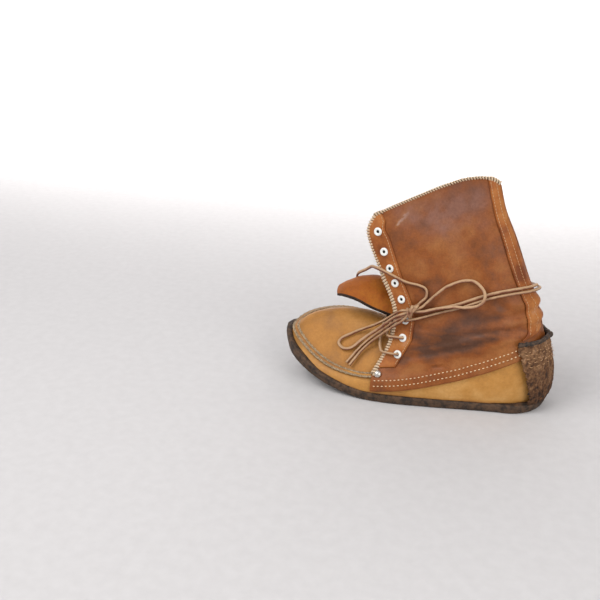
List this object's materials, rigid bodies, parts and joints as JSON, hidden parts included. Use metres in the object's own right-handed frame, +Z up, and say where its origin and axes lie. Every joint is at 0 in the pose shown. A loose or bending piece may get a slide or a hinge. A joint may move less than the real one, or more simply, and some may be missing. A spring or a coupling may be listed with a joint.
{
  "type": "laced moccasin boot",
  "caption": "Ankle-high leather moccasin boot with a raised toe seam, rubber sole and heel cup, and a rawhide lace wrapped round the ankle.",
  "frame": {"origin": "on the flat underside of the outsole, under the middle of the foot", "axes": "+Z up, toe towards -X, heel towards +X, outer side towards -Y"},
  "size_m": [0.304, 0.113, 0.2467],
  "materials": {
    "rubber": "worn black-brown moulded rubber",
    "cup": "coarse fibrous dark brown",
    "tan": "smooth and pebbled tan leather",
    "brown": "oiled mottled brown leather",
    "orange": "orange-brown nubuck straps and tongue",
    "pale": "undyed flesh-side leather and board",
    "white": "white enamelled eyelets",
    "metal": "dull domed rivets",
    "lace": "beige-brown rawhide",
    "seam": "waxed braided seam thread"
  },
  "bodies": {
    "boot": {"outsole": "rubber", "midsole": "pale", "insole": "pale", "vamp": "tan", "plug": "tan", "toe_seam": "seam", "quarter_outer": "brown", "quarter_inner": "brown", "facing_outer": "orange", "facing_inner": "orange", "backstay": "orange", "heel_cup": "cup", "heel_cup_binding": "rubber", "heel_counter": "pale", "throat_rivet_outer": "metal", "throat_rivet_inner": "metal", "tongue_base": "orange", "eyelet_outer_3": "white", "eyelet_outer_4": "white", "eyelet_outer_5": "white", "eyelet_outer_6": "white", "eyelet_outer_7": "white", "eyelet_outer_8": "white", "eyelet_inner_3": "white", "eyelet_inner_4": "white", "eyelet_inner_5": "white", "eyelet_inner_6": "white", "eyelet_inner_7": "white", "eyelet_inner_8": "white", "lace_strand_a": "lace", "lace_strand_b": "lace", "lace_knot": "lace", "lace_loop_back": "lace", "lace_loop_front": "lace", "lace_end_low": "lace", "lace_end_high": "lace"},
    "tongue_end": {"tongue_flap": "orange"},
    "lapel_outer": {"collar_flap_outer": "brown", "facing_top_outer": "orange", "eyelet_outer_1": "white", "eyelet_outer_2": "white"},
    "lapel_inner": {"collar_flap_inner": "brown", "facing_top_inner": "orange", "eyelet_inner_1": "white", "eyelet_inner_2": "white"}
  },
  "joints": [
    {"name": "tongue_bend", "type": "hinge", "parent": "boot", "child": "tongue_end", "pos_m": [-0.019, 0, 0.098], "axis": [0, 1, 0], "range_deg": [-12, 4]},
    {"name": "lapel_outer_fold", "type": "hinge", "parent": "boot", "child": "lapel_outer", "pos_m": [-0.03452, -0.01971, 0.15374], "axis": [0.6393, 0.0511, 0.7672], "range_deg": [0, 30]},
    {"name": "lapel_inner_fold", "type": "hinge", "parent": "boot", "child": "lapel_inner", "pos_m": [-0.03148, 0.01871, 0.14777], "axis": [-0.632, 0.0615, -0.7725], "range_deg": [0, 30]}
  ]
}
